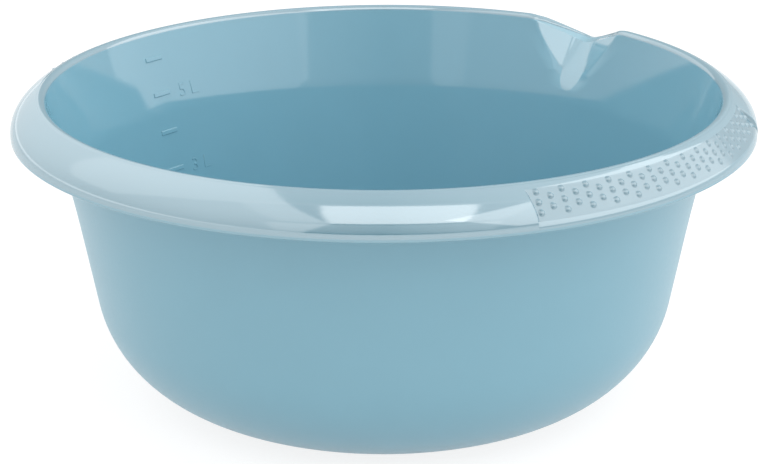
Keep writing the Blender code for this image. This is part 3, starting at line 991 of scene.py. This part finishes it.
def plastic(name, colour, roughness, index):
    """Moulded plastic: a faint mottle in the colour, and a fine grain in the gloss and the bump."""
    material = bpy.data.materials.new(name)
    material.use_nodes = True
    shader = material.node_tree.nodes["Principled BSDF"]
    shader.inputs["Base Color"].default_value = colour
    shader.inputs["Roughness"].default_value = roughness
    shader.inputs["IOR"].default_value = index
    nodes, links = material.node_tree.nodes, material.node_tree.links
    place = nodes.new("ShaderNodeTexCoord").outputs["Object"]
    mottle = nodes.new("ShaderNodeTexNoise")
    mottle.inputs["Scale"].default_value = MOTTLE_SCALE
    links.new(place, mottle.inputs["Vector"])
    tint = nodes.new("ShaderNodeMix")
    tint.data_type = "RGBA"
    links.new(mottle.outputs["Fac"], tint.inputs[MIX_FACTOR])
    tint.inputs[MIX_FIRST].default_value = shade(colour, 1.0 - MOTTLE_SHARE)
    tint.inputs[MIX_SECOND].default_value = shade(colour, 1.0 + MOTTLE_SHARE)
    links.new(tint.outputs[MIX_RESULT], shader.inputs["Base Color"])
    grain = nodes.new("ShaderNodeTexNoise")
    grain.inputs["Scale"].default_value = GRAIN_SCALE
    links.new(place, grain.inputs["Vector"])
    gloss = nodes.new("ShaderNodeMapRange")
    gloss.inputs["To Min"].default_value = roughness * (1.0 - GLOSS_SHARE)
    gloss.inputs["To Max"].default_value = roughness * (1.0 + GLOSS_SHARE)
    links.new(grain.outputs["Fac"], gloss.inputs["Value"])
    links.new(gloss.outputs["Result"], shader.inputs["Roughness"])
    bump = nodes.new("ShaderNodeBump")
    bump.inputs["Strength"].default_value = GRAIN_STRENGTH
    bump.inputs["Distance"].default_value = GRAIN_DEPTH
    links.new(grain.outputs["Fac"], bump.inputs["Height"])
    links.new(bump.outputs["Normal"], shader.inputs["Normal"])
    return material


def floor_look():
    """Pale matte floor. Cameras and mirrors see it lifted to white, with a trace of the shadow."""
    material = plastic("floor_look", FLOOR_GREY, FLOOR_ROUGHNESS, FLOOR_INDEX)
    nodes, links = material.node_tree.nodes, material.node_tree.links
    shader = nodes["Principled BSDF"]
    shader.inputs["Specular IOR Level"].default_value = 0.0
    dim = nodes.new("ShaderNodeBsdfDiffuse")
    dim.inputs["Color"].default_value = (FLOOR_KEEP, FLOOR_KEEP, FLOOR_KEEP, 1.0)
    lift = nodes.new("ShaderNodeEmission")
    lift.inputs["Strength"].default_value = FLOOR_LIFT
    seen = nodes.new("ShaderNodeAddShader")
    path = nodes.new("ShaderNodeLightPath")
    mix = nodes.new("ShaderNodeMixShader")
    links.new(dim.outputs[0], seen.inputs[0])
    links.new(lift.outputs[0], seen.inputs[1])
    ray = path.outputs["Is Camera Ray"]
    for other_ray in ("Is Glossy Ray", "Is Transmission Ray"):
        either = nodes.new("ShaderNodeMath")
        either.operation = "MAXIMUM"
        links.new(ray, either.inputs[0])
        links.new(path.outputs[other_ray], either.inputs[1])
        ray = either.outputs[0]
    links.new(ray, mix.inputs[0])
    links.new(shader.outputs[0], mix.inputs[1])
    links.new(seen.outputs[0], mix.inputs[2])
    links.new(mix.outputs[0], nodes["Material Output"].inputs["Surface"])
    return material


def build_floor():
    """A wide square floor at the height of the standing ring."""
    mesh = bpy.data.meshes.new("floor")
    sides = [(-1.0, -1.0), (1.0, -1.0), (1.0, 1.0), (-1.0, 1.0)]
    corners = [(x * FLOOR_HALF, y * FLOOR_HALF, 0.0) for x, y in sides]
    mesh.from_pydata(corners, [], [tuple(range(len(corners)))])
    floor = bpy.data.objects.new("floor", mesh)
    bpy.context.scene.collection.objects.link(floor)
    mesh.materials.append(floor_look())
    return floor


def main():
    """The bowl with its marks and pads, then what the photo has round it."""
    shell = build_shell()
    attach(shell, "root")
    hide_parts("bowl_shell")
    # The rim and skirt looks carry painted shade in their darker blues, and the rim, spout and skirt a
    # painted sheen in their higher index
    for name, look in SHELL_LOOKS.items():
        shell.data.materials.append(plastic(name + "_plastic_look", *look))
    build_marks(shell.data.materials[INSIDE])
    for side, turn in (("right", 0.0), ("left", math.pi)):
        pad = build_pad(side, turn)
        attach(pad, "root")
        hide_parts("grip_pad_" + side)
        # The grip look carries painted shade in its darker blue and a painted sheen in its higher index
        pad.data.materials.append(plastic("grip_shaded_look_" + side, *GRIP_SHADED_LOOK))

    build_world()
    for name, panel in PANELS.items():
        build_panel(name, *panel)
    floor = build_floor()
    build_camera()
    bpy.context.scene.view_settings.view_transform = "Standard"


main()
